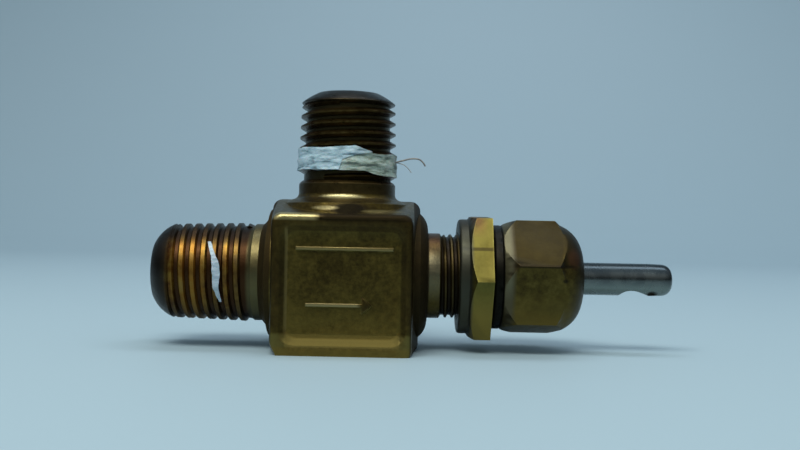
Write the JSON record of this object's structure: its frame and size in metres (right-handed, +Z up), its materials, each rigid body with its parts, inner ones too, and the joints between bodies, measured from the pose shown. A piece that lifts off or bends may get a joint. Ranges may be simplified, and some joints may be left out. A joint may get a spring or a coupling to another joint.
{
  "type": "regulating valve",
  "caption": "Angle needle valve with a rectangular forged brass block, two male taper-thread ports, a threaded bonnet with panel nut and packing nut, and a bare stem for a handle.",
  "frame": {"origin": "on the flat base, straight below the outlet and midway between front and back", "axes": "+X along the stem towards its handle end, +Z up the outlet, -Y towards the marked panel"},
  "size_m": [0.0686, 0.0194, 0.0338],
  "materials": {
    "body": "oxidised, olive brown",
    "panel_nut": "tarnished, yellow green",
    "packing_nut": "oxidised, dark olive",
    "stem": "turned, grey",
    "gland": "turned",
    "packing": "fluoropolymer, matt",
    "tape": "thread tape, matt"
  },
  "bodies": {
    "valve": {"valve_body": "body", "gland_washer": "gland", "lower_packing_ring": "packing", "upper_packing_ring": "packing", "thread_tape": "tape", "tape_shred": "tape"},
    "stem": {"stem": "stem"},
    "panel_nut": {"panel_nut": "panel_nut"},
    "gland": {"packing_gland": "gland"},
    "packing_nut": {"packing_nut": "packing_nut"}
  },
  "joints": [
    {"name": "stem_travel", "type": "slide", "parent": "valve", "child": "stem", "axis": [1, 0, 0], "range_m": [-0.00198, 0.00198]},
    {"name": "panel_nut_travel", "type": "slide", "parent": "valve", "child": "panel_nut", "axis": [1, 0, 0], "range_m": [-0.0024, 0.0001]},
    {"name": "gland_travel", "type": "slide", "parent": "valve", "child": "gland", "axis": [1, 0, 0], "range_m": [0, 0.00454]},
    {"name": "packing_nut_turn", "type": "hinge", "parent": "gland", "child": "packing_nut", "pos_m": [0.0193, 0, 0.00985], "axis": [1, 0, 0], "range_deg": [0, 1800]}
  ],
  "couplings": [
    {"joint": "gland_travel", "follows": "packing_nut_turn", "m_per_rad": 0.00014436}
  ]
}
